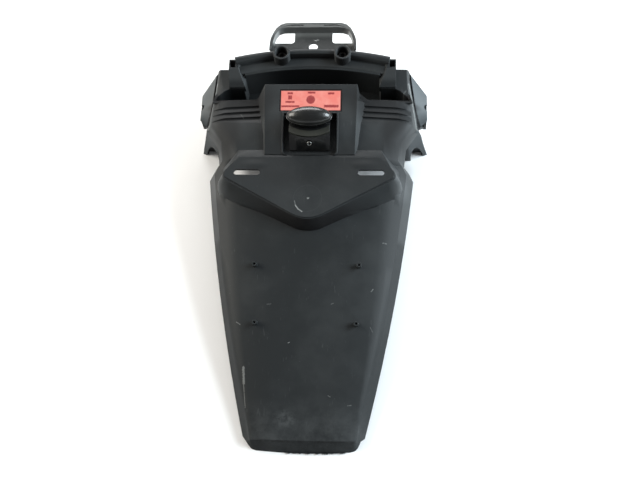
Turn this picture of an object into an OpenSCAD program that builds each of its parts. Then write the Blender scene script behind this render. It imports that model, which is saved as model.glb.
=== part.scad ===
// Motorcycle rear fender with its number plate lamp and tail bracket.
// It lies on a bench as it would come to rest: up is +Z, the tail end points to -Y,
// and the origin is under the middle of the whole part. Lengths are in millimetres.
// Inside this file a place along the part is its distance from the tail end, called t.

/* [Tail panel] */
// Width across the tail end
tip_w = 133; // [120:1:146]
// Width across the shoulders
shoulder_w = 254; // [240:1:266]
// Distance from the tail end to the shoulders
shoulder_t = 327; // [318:1:332]
// How far each long side bows outwards
side_bow = 6; // [0:0.5:9]
// Height of the crease above the tail lip
lip_h = 15; // [10:0.5:20]
// Length of the tail lip, seen from above
lip_len = 12; // [8:0.5:16]
// How far the corners of the tail end curve back
corner_back = 15; // [8:0.5:20]
// Slope of the panel in degrees
panel_tilt = 10.9; // [9:0.1:12]
// How much the panel falls towards its sides at the shoulders
crown_h = 6; // [2:0.5:9]
// Depth of the side skirt at the shoulders
skirt_h = 17.5; // [12:0.5:24]
// Depth of the side skirt at the tail end
skirt_tip_h = 9; // [6:0.5:10]
// How far the skirt leans outwards
skirt_lean = 6.5; // [3:0.5:8]
// Wall thickness of the moulding
wall = 3; // [2:0.25:3.5]

/* [Deck] */
// Height of the deck
deck_z = 79; // [77:0.5:81]
// Height of the deck along its sides
deck_side_z = 68; // [64:0.5:72]
// Width of the waist, just above the shoulders
waist_w = 220; // [212:1:226]
// Width of the deck above the knees
deck_w = 255; // [248:1:260]
// Width of the deck at its top corners
top_w = 241; // [234:1:248]
// Distance from the tail end to the waist
waist_t = 343; // [340:1:346]
// Distance from the tail end to the knees
knee_t = 368; // [364:1:372]
// Distance from the tail end to the top corners
deck_t = 466; // [462:1:470]
// Height of each step of the louvres
louvre_h = 2; // [1:0.25:2.5]
// Distance between the louvre steps
louvre_pitch = 7.7; // [7:0.1:8]
// Distance from the tail end to the first louvre step
louvre_t = 398.5; // [396:0.5:400]
// How far the ends of the louvre steps bow towards the tail
louvre_bow = 5.5; // [0:0.5:6]
// Distance from the tail end to the rim of the pocket above the louvres
pocket_t = 421; // [418:0.5:423]

/* [Plate platform] */
// Height of the number plate platform
platform_z = 80; // [79:0.5:84]
// Distance from the tail end to the platform's point
platform_t = 261; // [255:1:265]
// Width of the platform
platform_w = 208; // [200:1:212]
// Distance between the middles of the plate slots
slot_pitch = 150; // [130:1:156]
// Length of each plate slot
slot_len = 32; // [20:1:36]
// Width of each plate slot
slot_w = 7; // [5:0.25:9]
// Distance from the tail end to the plate slots
slot_t = 320.5; // [316:0.5:324]

/* [Plate pins] */
// Diameter of the pins on the panel
pin_d = 6; // [4:0.5:8]
// Height of the pins
pin_h = 7; // [4:0.5:12]
// Bore of the pins
pin_bore = 2.6; // [1.5:0.1:3]
// Distance between the upper pins
pin_top_pitch = 124; // [110:1:130]
// Distance between the lower pins
pin_low_pitch = 119; // [106:1:124]
// Distance from the tail end to the upper pins
pin_top_t = 212; // [200:1:222]
// Distance from the tail end to the lower pins
pin_low_t = 144; // [130:1:160]

/* [Label] */
// Width of the label
label_w = 75; // [60:1:84]
// Height of the label
label_len = 27; // [20:0.5:28]
// Thickness of the label
label_thick = 0.6; // [0.4:0.1:1]
// Distance from the tail end to the middle of the label
label_t = 412.5; // [411:0.5:414]
// Width of the raised box that carries it, along its top edge
box_w = 114; // [104:1:118]
// Height of the box at its top edge
box_z = 96; // [92:0.5:99]
// Distance from the tail end to the box's top edge
box_t = 433; // [431:0.5:435]

/* [Lamp] */
// Width of the lamp body
lamp_w = 49; // [44:1:51]
// Distance from the tail end to the lamp's middle
lamp_t = 382.5; // [381:0.5:384]
// Distance from the tail end to the foot of the lamp's front
lamp_front_t = 351; // [349:0.5:353]
// Half the width of the hood
hood_rx = 27; // [25:0.5:28]
// Half the depth of the hood
hood_ry = 12; // [10:0.5:13]
// Height of the hood's rim
hood_z = 106; // [104:0.5:108]
// Height of the lens
lens_h = 11; // [9:0.5:12]
// Width of the well that the lamp stands in
well_w = 65; // [60:1:68]
// Floor of the lamp's well
well_z = 75; // [73:0.5:76]
// Width of the lip round the well
well_lip = 1.8; // [1:0.2:1.8]

/* [Arch beam and bosses] */
// Radius of the arch seen from above, along its crest
arch_r = 407; // [380:1:440]
// Distance from the tail end to the crest of the arch
arch_t = 482; // [480:1:484]
// Half the length of the arch, along the width
arch_half = 97; // [94:1:99]
// Height of the crest
arch_z = 99; // [97:0.5:102]
// Distance between the two bolt bosses
boss_pitch = 76; // [68:1:84]
// Outer diameter of a boss
boss_d = 20.5; // [19:0.5:21]
// Bore of a boss
boss_bore = 15.2; // [13:0.2:16]
// Height of the bosses
boss_z = 104; // [102:0.5:107]
// Distance from the tail end to the bosses
boss_t = 474; // [473:0.5:475]
// Depth of the pocket under the arch
trough_depth = 37; // [30:1:44]

/* [Legs] */
// Width across the feet of the two legs
leg_w = 291; // [284:1:296]
// Thickness of a leg
leg_thick = 7; // [6:0.5:9]
// Width of the arched recess in each foot
notch_w = 15; // [10:0.5:16]
// Height of the recess
notch_h = 21; // [15:1:30]
// Depth of the recess
notch_depth = 4; // [2:0.5:5]

/* [Tail bracket] */
// Reach of the bracket beyond the arch's crest
bracket_reach = 43; // [38:1:46]
// Width of the bracket across its feet
bracket_w = 110; // [104:1:116]
// Thickness of the bracket
bracket_thick = 3; // [2:0.25:3.5]
// Bore of the hole in the bracket
bracket_bore = 11.5; // [8:0.5:13]
// Height of the bracket's rim above its plate
rim_h = 8; // [6:0.5:11]
// Half the width of the plain tongue between the two windows
tongue_half = 24; // [20:0.5:30]

/* [Fasteners] */
// Thread diameter of the bracket bolts
bolt_d = 6; // [5:0.5:6]
// Thread diameter of the lamp studs
stud_d = 4; // [3:0.5:5]
// Bore of the side fixing tabs
tab_bore = 7; // [5:0.5:8]
// Length of the side fixing tabs
tab_len = 34; // [26:1:40]
// Distance from the tail end to the far end of the side fixing tabs
tab_far_t = 445; // [443:1:447]

/* [Hidden] */
$fn = 48;

// Reach of the whole part and places that several pieces share
overall_len = arch_t + bracket_reach;
panel_end_z = lip_h + (shoulder_t - lip_len) * tan(panel_tilt);
arch_turn = asin(arch_half / arch_r);
arch_mid_t = arch_t - arch_r;
beam_floor_z = arch_z - 13;
pocket_far = arch_t - 44;
ramp_drop = 3.6;
bracket_z = beam_floor_z - wall;
boss_floor_z = beam_floor_z + 4;
washer_h = 1.2;
play = 0.6;
close_play = 0.4;
box_low_t = waist_t - 2;
box_low_z = deck_z - 0.6;
box_slope = (box_z - box_low_z) / (box_t - box_low_t);
label_bed_h = 0.8;

// The lamp, from its gasket up to its collar
body_z = well_z + 2;
body_foot_z = body_z + 1.5;
collar_h = 3;
collar_z = hood_z - lens_h;
collar_r = 51;
collar_w = 7.7;
collar_mid_t = lamp_t + 28.2;
stud_x = 14;
socket_d = 12.6;
bulb_d = 9.5;
screw_d = 6.5;

// Puts what is modelled from the tail end into the part's own frame
module from_tail() {
    translate([0, -overall_len / 2, 0]) children();
}

// Makes the same form on both sides
module both_sides() {
    children();
    mirror([1, 0, 0]) children();
}

// Middle of some points
function middle(points) = [for (i = [0:2]) [for (p = points) p[i]] * [for (p = points) 1 / len(points)]];

// Body through a stack of rings with as many points each, closed by fans of triangles
module loft(rings) {
    n = len(rings[0]);
    m = len(rings);
    polyhedron(
        points = concat([for (r = rings) each r], [middle(rings[0]), middle(rings[m - 1])]),
        faces = concat(
            [for (i = [0:n - 1]) [i, (i + 1) % n, m * n]],
            [for (i = [0:n - 1]) [(m - 1) * n + (i + 1) % n, (m - 1) * n + i, m * n + 1]],
            [for (k = [0:m - 2], i = [0:n - 1]) [k * n + i, (k + 1) * n + i, k * n + (i + 1) % n]],
            [for (k = [0:m - 2], i = [0:n - 1])
                [(k + 1) * n + i, (k + 1) * n + (i + 1) % n, k * n + (i + 1) % n]]));
}

// Body between two rings
module between_rings(low, high) {
    loft([low, high]);
}

// Replaces each corner [x, y, reach, steps] of an outline by a curve that starts at its
// reach from the corner, and keeps a corner with no steps as it is
function eased(corners) = [
    for (i = [0:len(corners) - 1])
        let (
            n = len(corners),
            c = corners[i],
            v = [c[0], c[1]],
            b = corners[(i + n - 1) % n],
            a = corners[(i + 1) % n],
            from = v + c[2] * unit([b[0], b[1]] - v),
            to = v + c[2] * unit([a[0], a[1]] - v))
        for (k = [0:c[3]])
            let (u = c[3] == 0 ? 0 : k / c[3])
            c[3] == 0 ? v : (1 - u) * (1 - u) * from + 2 * u * (1 - u) * v + u * u * to];

function unit(v) = v / norm(v);

// A symmetric outline of corners from its right half, the middle ones only once
function mirrored_corners(half) =
    concat(half, [for (i = [len(half) - 1:-1:0]) if (half[i][0] > 0.01)
        [-half[i][0], half[i][1], half[i][2], half[i][3]]]);

// A flat or bent sheet: four corners, and the way to its other face
module sheet(corners, way) {
    turn = cross(corners[1] - corners[0], corners[2] - corners[0]) * way;
    ring = turn > 0 ? corners : [for (i = [3:-1:0]) corners[i]];
    between_rings(ring, [for (p = ring) p + way]);
}

// A symmetric outline from its right half, which runs from the middle near the tail
function mirrored(half) =
    concat(half, [for (i = [len(half) - 1:-1:0]) if (half[i][0] > 0.01)
        [-half[i][0], half[i][1]]]);

// Lifts the points of an outline to one height
function at_height(outline, z) = [for (p = outline) [p[0], p[1], z]];

// Half the width of the tail panel, across its skirts
function panel_half(t) =
    let (s = t / shoulder_t)
    tip_w / 2 + (shoulder_w - tip_w) / 2 * s + 4 * side_bow * s * (1 - s);

// Height of the middle of the tail panel
function panel_z(t) = lip_h + (t - lip_len) * tan(panel_tilt);

// One row of the tail panel: its place, how far its ends curve back, then half-width and
// height at the crease, at the edge and at the skirt's foot, with the middle's height first
function panel_row(t, back) =
    let (
        s = t / shoulder_t,
        foot = panel_half(t + back),
        edge = foot - skirt_lean,
        crease = edge - 5.5 - 26 * s,
        edge_z = panel_z(t) - crown_h * s - 4 - 8.5 * s,
        foot_z = edge_z - skirt_tip_h - (skirt_h - skirt_tip_h) * s)
    [t, back, panel_z(t), crease, panel_z(t) - crown_h * s, edge, edge_z, foot, max(0.6, foot_z)];

// The first row is the foot of the tail lip
function lip_row() = [0, corner_back, 0, tip_w / 2 - 12, 0, tip_w / 2 - 3, 0, tip_w / 2, 0];

// One row of the deck, with the height of its side edge and the width across that edge
function deck_row(t, width, side_z, drop, skirt, bow = 0) =
    [t, -bow, deck_z - drop, width / 2 - 20, deck_z - 1.5 - drop, width / 2, side_z,
     width / 2 + skirt_lean - 1, side_z - skirt];

// The louvres are steps that rise towards the arch, one after the other
function louvre_rows(n) = [
    for (i = [0:n - 1], side = [0, 1])
        let (t = louvre_t + i * louvre_pitch + side * 0.8)
        deck_row(t, deck_w - 0.16 * (t - louvre_t), deck_side_z + 0.12 * (t - louvre_t),
                 side == 0 ? louvre_h : 0, 20, louvre_bow)];

// All rows of the outer face, from the tail lip to the deck's far end
rows = concat(
    [lip_row()],
    [panel_row(lip_len, 6), panel_row(26, 2)],
    [for (t = [45, 70, 100, 135, 175, 215, 250, 280, 305, shoulder_t]) panel_row(t, 0)],
    [[shoulder_t + 10, 0, platform_z - 2, waist_w / 2 - 26, 73, waist_w / 2 + 6, 58,
      waist_w / 2 + 12, 42]],
    [deck_row(waist_t, waist_w, deck_side_z - 3, 3, 20),
     deck_row(knee_t, waist_w + 5, deck_side_z, 1, 22),
     deck_row(knee_t + 21, deck_w - 1, deck_side_z, 0, 18)],
    louvre_rows(3),
    [deck_row(deck_t - 24, top_w + 2, deck_side_z + 7, 0, 20),
     deck_row(deck_t, top_w, deck_side_z + 9, 0, 20)]);

// How far a row curves at a share u of its half width: late for the tail, evenly for a bow
function bend(back, u) = back < 0 ? back * u * u : back * (0.18 * pow(u, 2) + 0.82 * pow(u, 18));

// Points of one row of the outer or inner face, across the part from left to right
function row_points(r, inset) =
    let (
        out = inset ? wall : 0,
        first = r[2] == 0,
        last = r[0] == deck_t,
        t = r[0] + (inset && first ? wall : 0) + (inset && last ? 30 : 0),
        down = inset ? (first ? 5 : wall) : 0,
        foot_down = inset ? 6 : 0,
        x = [0, r[3] / 2, r[3] - out * 0.3, (r[3] + r[5]) / 2 - out * 0.5, r[5] - 2.6 - out * 0.8,
             r[5] - out, r[7] - out],
        z = [r[2] - down, r[2] - (r[2] - r[4]) / 4 - down, r[4] - down,
             r[4] - (r[4] - r[6]) * 0.38 - down, r[4] - (r[4] - r[6]) * 0.8 - down,
             r[6] - (first ? down : 2.4 + down * 0.6), r[8] - (first && inset ? 5 : foot_down)],
        foot = r[7])
    [for (j = [-6:6])
        let (k = abs(j), u = x[k] / foot)
        [sign(j) * x[k], t + bend(r[1], u), z[k]]];

// The body under the outer face, or the hollow under the inner one
module skin_body(inset) {
    n = len(rows);
    m = 13;
    points = [for (r = rows) each row_points(r, inset)];
    near = middle([for (j = [0:m - 1]) points[j]]);
    far = middle([for (j = [0:m - 1]) points[(n - 1) * m + j]]);
    polyhedron(
        points = concat(points, [near, far]),
        faces = concat(
            [for (i = [0:n - 2], j = [0:m - 2]) [i * m + j, (i + 1) * m + j, i * m + j + 1]],
            [for (i = [0:n - 2], j = [0:m - 2])
                [(i + 1) * m + j, (i + 1) * m + j + 1, i * m + j + 1]],
            [for (i = [0:n - 2]) [i * m, i * m + m - 1, (i + 1) * m]],
            [for (i = [0:n - 2]) [(i + 1) * m, i * m + m - 1, (i + 1) * m + m - 1]],
            [for (j = [0:m - 1]) [j, (j + 1) % m, n * m]],
            [for (j = [0:m - 1]) [(n - 1) * m + (j + 1) % m, (n - 1) * m + j, n * m + 1]]));
}

// The plateau for the number plate. Its ramp falls to the panel all round, and towards
// the deck it is bent once, at the height of the middle outline
module plateau(inset) {
    w = platform_w / 2;
    t = platform_t;
    d = inset * 0.8;
    steps = inset > 0 ? 3 : 6;
    step = inset > 0 ? 1.2 : 0.8;
    foot_half = [[0, t - 15.5 + inset, 23, steps], [w + 10.5 - d, t + 29 + inset / 2, 12, steps],
                 [w + 10 - d, t + 77 - inset / 3, 0, 0], [w - 5 - d, t + 101 - d, 0, 0]];
    top_half = [[0, t - 6 + inset, 23, steps], [w + 2.5 - d, t + 54.8 + inset / 2, 8, steps],
                [w - 5.5 - d, t + 66.6 - inset / 3, 0, 0], [w - 18 - d, t + 81 - d, 0, 0]];
    face_half = [for (c = top_half)
        [c[0] - (c[0] > 0 ? step : 0), c[1] + (c[1] < t + 60 ? step : -step), c[2], c[3]]];
    mid_half = [[0, t - 6.9 + inset, 23, steps], [w + 3.3 - d, t + 52.4 + inset / 2, 8, steps],
                [w - 4 - d, t + 67.6 - inset / 3, 0, 0], [w - 17 - d, t + 91 - d, 0, 0]];
    low_z = panel_end_z - 26 - inset;
    top_z = platform_z - inset;
    loft([at_height(eased(mirrored_corners(foot_half)), low_z),
          at_height(eased(mirrored_corners(mid_half)), top_z - ramp_drop),
          at_height(eased(mirrored_corners(top_half)), top_z - step)]);
    translate([0, 0, top_z - 6]) linear_extrude(6) polygon(eased(mirrored_corners(face_half)));
}

// The raised box that carries the label and the lamp
module label_box(inset) {
    w = box_w / 2 - inset;
    far = box_t - inset;
    high = function (t) box_low_z + (t - box_low_t) * box_slope - inset;
    base = deck_z - 12;
    low_half = [[0, box_low_t], [w + 1, box_low_t + 2], [w + 16, far - 13], [w + 4, far]];
    top_half = [[0, box_low_t + 3], [w - 2, box_low_t + 4], [w, far - 20], [w, far]];
    top = mirrored(concat(top_half, [[0, far]]));
    between_rings(
        at_height(mirrored(concat(low_half, [[0, far]])), base),
        [for (p = top) [p[0], p[1], high(p[1])]]);
}

// The deep pocket under the arch: its plan cut by its side profile, both grown by a margin
module trough(grow) {
    w = box_w / 2;
    end_w = arch_half - 13;
    floor_z = deck_z - trough_depth;
    plan = [[0, box_t - grow], [w + grow, box_t - grow], [w + 12 + grow, pocket_t + 1 - grow],
            [w + 15, pocket_t + 0.8 - grow], [w + 40, pocket_t + 0.6 - grow],
            [deck_w / 2 - 4 + grow, pocket_t - 1.2 - grow],
            [deck_w / 2 - 8.8 + grow, pocket_t + 7 + grow],
            [deck_w / 2 - 17.3 + grow, pocket_far - 3 + grow],
            [arch_half + 7 + grow, pocket_far + grow], [end_w + 2 + grow, pocket_far + grow],
            [end_w + grow, pocket_far + 14], [end_w - 2 + grow, arch_t], [0, arch_t]];
    intersection() {
        translate([0, 0, floor_z - grow]) linear_extrude(120) polygon(mirrored(plan));
        translate([-deck_w / 2, 0, 0]) rotate([90, 0, 90]) linear_extrude(deck_w) polygon([
            [pocket_t - 1.2 - grow, deck_z + 1], [pocket_far - grow * 1.4, floor_z - grow],
            [arch_t + 10, floor_z - grow], [arch_t + 10, deck_z + 60],
            [pocket_t - 1.2 - grow, deck_z + 60]]);
        translate([0, arch_mid_t, 0]) cylinder(r = arch_r - 22 + grow, h = 200, $fn = 160);
    }
}

// What the pocket's floor and walls are made of, up to just under the deck
module pocket_body() {
    intersection() {
        trough(wall);
        translate([-deck_w / 2, 0, 0]) cube([deck_w, overall_len, deck_z - 4]);
    }
}

// The well that the lamp stands in, with round corners
module lamp_well(grow) {
    r = 6;
    far = lamp_t + 13.5;
    low = box_low_t + 3.2;
    translate([0, 0, well_z - grow]) linear_extrude(60) {
        union() {
            translate([-well_w / 2 - grow, low + r]) square([well_w + 2 * grow, far - low - r + grow]);
            translate([-well_w / 2 + r, low - grow]) square([well_w - 2 * r, far - low + grow]);
            both_sides() translate([well_w / 2 - r, low + r]) circle(r + grow);
        }
    }
}

// Raised lip round the well, following the slope of the box
module well_rim() {
    intersection() {
        label_box(-0.8);
        lamp_well(well_lip);
    }
}

// The shallow bed of the label, along the slope of the box
module label_bed() {
    place_on_box(label_t) translate([-label_w / 2 - 1, -label_len / 2 - 0.8, -label_bed_h])
        cube([label_w + 2, label_len + 1.6, 10]);
}

// Puts something on the sloping top of the label box
module place_on_box(t) {
    translate([0, t, box_low_z + (t - box_low_t) * box_slope])
        rotate([atan(box_slope), 0, 0]) children();
}

// Section of the arch beam, as distance along the part and height, at its middle
module arch_section() {
    polygon([
        [arch_t - 19, beam_floor_z - 2], [arch_t - 19, arch_z - 11], [arch_t - 17.6, arch_z - 9.6],
        [arch_t - 10.6, arch_z - 7], [arch_t - 10, arch_z - 9], [arch_t - 7.4, arch_z - 9],
        [arch_t - 6.8, arch_z - 2.6], [arch_t - 5.6, arch_z - 0.9], [arch_t - 3.4, arch_z],
        [arch_t - 1.2, arch_z], [arch_t + 1, arch_z - 0.9], [arch_t + 2, arch_z - 2.6],
        [arch_t + 2, beam_floor_z],
        [arch_t - 16.5, beam_floor_z], [arch_t - 16.5, beam_floor_z - 2]]);
}

// The curved beam that closes the fender's upper end
module arch_beam() {
    translate([0, arch_mid_t, 0]) rotate([0, 0, 90 - arch_turn])
        rotate_extrude(angle = 2 * arch_turn, $fn = 160)
            translate([-arch_mid_t, 0]) arch_section();
}

// Wall behind the pocket, from its floor up to the beam and out to the pocket's ends
module back_wall_body() {
    turn = asin((arch_half - 13) / (arch_r - 22));
    low_z = deck_z - trough_depth - wall;
    translate([0, arch_mid_t, low_z]) rotate([0, 0, 90 - turn])
        rotate_extrude(angle = 2 * turn, $fn = 160)
            translate([arch_r - 30, 0]) square([8 + wall, beam_floor_z + 2 - low_z]);
}

// Pillar under each end of the beam, sloping up from the deck, with the open socket in its top
module beam_foot() {
    low_in = arch_half - 13;
    top_in = arch_half - 4.5;
    out = arch_half + 7.5;
    back = arch_t - 11;
    top_front = back - 13;
    ring = [[low_in, pocket_far + 0.5], [out, pocket_far + 0.5], [out, back], [low_in, back]];
    top = [[top_in, top_front], [out, top_front], [out, back], [top_in, back]];
    difference() {
        loft([at_height(ring, deck_side_z + 2), at_height(ring, deck_z + 1), at_height(top, arch_z - 6)]);
        translate([out - 8, top_front + 1.6, deck_z - 3]) cube([6.6, 9.6, arch_z - deck_z]);
    }
}

// Tube of one bolt boss
module boss() {
    translate([boss_pitch / 2, boss_t, beam_floor_z]) cylinder(d = boss_d, h = boss_z - beam_floor_z);
}

// Flared leg below the knee, with the arched notch in its foot
module leg() {
    top_in = [waist_w / 2 + 4.5, knee_t + 4, deck_side_z - 4];
    top_out = [deck_w / 2 + 5.5, knee_t + 24, deck_side_z - 12];
    foot_in = [leg_w / 2 - 24.5, knee_t + 16, 0];
    foot_out = [leg_w / 2, knee_t + 18.5, 0];
    heel = [leg_w / 2 - 7, knee_t + 32, 25];
    heel_top = [deck_w / 2 + 3.5, knee_t + 31, deck_side_z - 16];
    difference() {
        union() {
            sheet([top_in, foot_in, foot_out, top_out], [-leg_thick / 3, leg_thick, 0]);
            sheet([top_out, foot_out, heel, heel_top], [-wall, 0, 0]);
        }
        translate([leg_w / 2 - 13.3, knee_t + 17.2, notch_h - notch_w / 2]) rotate([90, 0, 6]) {
            translate([0, 0, -notch_depth]) cylinder(d = notch_w, h = notch_depth + 10);
            translate([-notch_w / 2, -notch_h, -notch_depth]) cube([notch_w, notch_h, notch_depth + 10]);
        }
    }
}

// Sloping flange outside the groove, and the upright tab at its edge
module side_flange() {
    root_low = [deck_w / 2 + 5.5, knee_t + 31, deck_side_z - 26];
    root_top = [top_w / 2 + 2, deck_t - 3, deck_side_z + 3];
    edge_x = deck_w / 2 + 14.5;
    edge_top = [edge_x, tab_far_t, deck_side_z - 22];
    edge_low = [edge_x, tab_far_t - tab_len, deck_side_z - 42];
    difference() {
        union() {
            sheet([root_low, edge_low, edge_top, root_top], [-1.6, 0, -wall * 0.9]);
            translate([edge_x - 1, tab_far_t - tab_len, deck_side_z - 46])
                cube([wall + 0.5, tab_len, 24]);
        }
        translate([edge_x - 15, tab_far_t - 12, deck_side_z - 37])
            rotate([0, 90, 0]) cylinder(d = tab_bore, h = 30);
    }
}

// One pin of the panel, square to it
module pin(pitch, t) {
    foot_z = panel_z(t) - crown_h * t / shoulder_t * 0.55;
    translate([pitch / 2, t, foot_z]) rotate([panel_tilt, 0, 0]) difference() {
        translate([0, 0, -2]) cylinder(d = pin_d, h = pin_h + 2);
        translate([0, 0, pin_h - 5]) cylinder(d = pin_bore, h = 10);
    }
}

// A slot with round ends, cut straight down
module plate_slot() {
    translate([slot_pitch / 2, slot_t, platform_z - 12]) {
        both_sides() translate([(slot_len - slot_w) / 2, 0, 0]) cylinder(d = slot_w, h = 24);
        translate([-(slot_len - slot_w) / 2, -slot_w / 2, 0]) cube([slot_len - slot_w, slot_w, 24]);
    }
}

// Ribs under the panel and the platform
module ribs() {
    intersection() {
        union() {
            both_sides() translate([34, 60, 0]) cube([2, 240, 120]);
            for (t = [90, 178]) translate([-130, t, 0]) cube([260, 2, 120]);
        }
        difference() {
            skin_body(false);
            translate([0, 0, -wall - 5]) skin_body(false);
        }
    }
}

module fender() {
    color("dimgray") from_tail() difference() {
        union() {
            difference() {
                union() {
                    skin_body(false);
                    plateau(0);
                    label_box(0);
                    well_rim();
                    back_wall_body();
                    pocket_body();
                }
                difference() {
                    union() {
                        skin_body(true);
                        plateau(wall);
                        label_box(wall);
                    }
                    trough(wall);
                    lamp_well(wall);
                }
                trough(0);
                lamp_well(0);
                label_bed();
            }
            ribs();
            arch_beam();
            both_sides() {
                beam_foot();
                boss();
                leg();
                side_flange();
                pin(pin_top_pitch, pin_top_t);
                pin(pin_low_pitch, pin_low_t);
            }
        }
        both_sides() {
            plate_slot();
            translate([boss_pitch / 2, boss_t, boss_floor_z]) cylinder(d = boss_bore, h = 40);
            translate([boss_pitch / 2, boss_t, 40]) cylinder(d = bolt_d + play, h = 80);
            translate([stud_x, lamp_t, 40]) cylinder(d = stud_d + play, h = 60);
        }
        translate([0, lamp_t, 40]) cylinder(d = socket_d + close_play, h = 60);
    }
}

// Outline of the tail bracket, seen from above, drawn in by one margin at its sides and
// another at its far edge
function bracket_outline(side, far) =
    let (w = bracket_w / 2 - side, end = arch_t + bracket_reach)
    mirrored([[0, arch_t + 3], [w, arch_t + 3], [w - 1.8, end - 26], [w - 4, end - 15 - far * 0.3],
              [w - 7.5 - far * 0.03, end - 8 - far * 0.4], [w - 13 - far * 0.1, end - 2.5 - far * 0.75],
              [w - 20, end - far], [0, end - far]]);

// Outside of the bracket: a rim that leans outwards and ends in a turned lip
module bracket_shell() {
    top = bracket_z + bracket_thick + rim_h;
    loft([at_height(bracket_outline(2, 7), bracket_z), at_height(bracket_outline(1, 4), top - 2.8),
          at_height(bracket_outline(0, 0), top - 2.4), at_height(bracket_outline(0, 0), top)]);
}

// Inside of the bracket above its plate
module bracket_hollow() {
    floor_z = bracket_z + bracket_thick;
    translate([0, -1, 0]) between_rings(
        at_height(bracket_outline(3.6, 9), floor_z),
        at_height(bracket_outline(2.2, 5.6), floor_z + rim_h + 1));
}

// Narrow groove behind the lip, left out at the tongue
module lip_groove() {
    floor_z = bracket_z + bracket_thick + rim_h - 4;
    translate([0, 0, floor_z]) linear_extrude(10) intersection() {
        difference() {
            polygon(bracket_outline(1.1, 3.6));
            polygon(bracket_outline(1.6, 4.8));
        }
        translate([13, overall_len - 14]) square([40, 14]);
    }
}

// Window of the bracket, from the tongue out to the foot of the rim
module bracket_window() {
    low = arch_t + 17.4;
    round = 4;
    translate([0, 0, bracket_z - 1]) linear_extrude(bracket_thick + 1.5) intersection() {
        polygon(bracket_outline(3.4, 8.8));
        union() {
            translate([tongue_half, low + round]) square([40, 40]);
            translate([tongue_half + round, low]) square([40, 40]);
            translate([tongue_half + round, low + round]) circle(round);
        }
    }
}

module tail_bracket() {
    foot_low = boss_t - 9;
    color("gray") from_tail() difference() {
        union() {
            difference() {
                bracket_shell();
                bracket_hollow();
            }
            translate([-46, foot_low, bracket_z]) cube([92, arch_t + 6 - foot_low, bracket_thick]);
        }
        both_sides() {
            bracket_window();
            lip_groove();
            translate([boss_pitch / 2, boss_t, bracket_z - 1])
                cylinder(d = bolt_d + play, h = bracket_thick + 2);
        }
        translate([0, arch_t + 12.4, bracket_z - 1])
            cylinder(d = bracket_bore, h = bracket_thick + 2);
    }
}

// Bolt of a boss: its head stands on a washer at the floor of the boss
module bracket_bolts() {
    seat = boss_floor_z + washer_h;
    color("dimgray") from_tail() both_sides() translate([boss_pitch / 2, boss_t, seat]) difference() {
        union() {
            cylinder(d = 10, h = 6);
            translate([0, 0, -22]) cylinder(d = bolt_d, h = 22);
        }
        translate([0, 0, 2.8]) cylinder(d = 5.8, h = 10, $fn = 6);
    }
}

// A plain washer with its underside at the origin
module washer(bore, d, h) {
    difference() {
        cylinder(d = d, h = h);
        translate([0, 0, -1]) cylinder(d = bore, h = h + 2);
    }
}

// A hexagon nut with its underside at the origin
module nut(bore, across, h) {
    difference() {
        cylinder(d = across / cos(30), h = h, $fn = 6);
        translate([0, 0, -1]) cylinder(d = bore, h = h + 2);
    }
}

// Washers over the floor of each boss and under the bracket
module bracket_washers() {
    color("silver") from_tail() both_sides() translate([boss_pitch / 2, boss_t, 0]) {
        translate([0, 0, boss_floor_z]) washer(bolt_d + close_play, 14, washer_h);
        translate([0, 0, bracket_z - washer_h]) washer(bolt_d + close_play, 14, washer_h);
    }
}

module bracket_nuts() {
    low_z = bracket_z - washer_h - 5;
    color("silver") from_tail() both_sides() translate([boss_pitch / 2, boss_t, low_z])
        nut(bolt_d, 10, 5);
}

// Reflecting sheet stuck in its bed
module label() {
    color("salmon") from_tail() place_on_box(label_t)
        translate([-label_w / 2, -label_len / 2, -label_bed_h]) cube([label_w, label_len, label_thick]);
}

// Points of an ellipse round the lamp's middle
function ellipse(a, b, n = 48) =
    [for (i = [0:n - 1]) [a * cos(360 * i / n), lamp_t + b * sin(360 * i / n)]];

// Arc of the collar's edge, as the points of its front from left to right
function collar_arc(r) =
    [for (i = [-4:4]) let (x = lamp_w / 2 * i / 4) [x, collar_mid_t - sqrt(r * r - x * x)]];

module lamp_gasket() {
    color("black") from_tail() difference() {
        translate([-lamp_w / 2 + 0.5, lamp_front_t + 0.5, well_z])
            cube([lamp_w - 1, lamp_t + 12 - lamp_front_t, body_z - well_z]);
        translate([0, lamp_t, well_z - 1]) cylinder(d = socket_d + close_play, h = 10);
        both_sides() translate([stud_x, lamp_t, well_z - 1]) cylinder(d = stud_d + play, h = 10);
    }
}

// Block of the lamp: its front slopes from a straight foot up to the arc of the collar
module lamp_body() {
    far_t = lamp_t + 12.5;
    back = [[lamp_w / 2, far_t], [-lamp_w / 2, far_t]];
    front = collar_arc(collar_r);
    foot = concat([for (p = front) [p[0], lamp_front_t]], back);
    top = concat(front, back);
    color("darkslategray") from_tail() difference() {
        union() {
            loft([at_height(foot, body_z), at_height(foot, body_foot_z), at_height(top, collar_z)]);
            both_sides() translate([stud_x, lamp_t, well_z - wall - 8]) cylinder(d = stud_d, h = 15);
        }
        translate([0, lamp_t, body_z - 1]) cylinder(d = 15, h = collar_z);
        screw_place() translate([0, 0, -6]) cylinder(d = screw_d / 2, h = 20);
        screw_place() translate([0, 0, -1.6]) cylinder(d = screw_d + 2.5, h = 10);
    }
}

// Frame on the sloping front of the lamp, its axis square to the slope
module screw_place() {
    run = collar_mid_t - collar_r - lamp_front_t;
    rise = collar_z - body_foot_z;
    up = 0.55;
    translate([0, lamp_front_t + run * up, body_foot_z + rise * up])
        rotate([atan(rise / run), 0, 0]) children();
}

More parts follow.
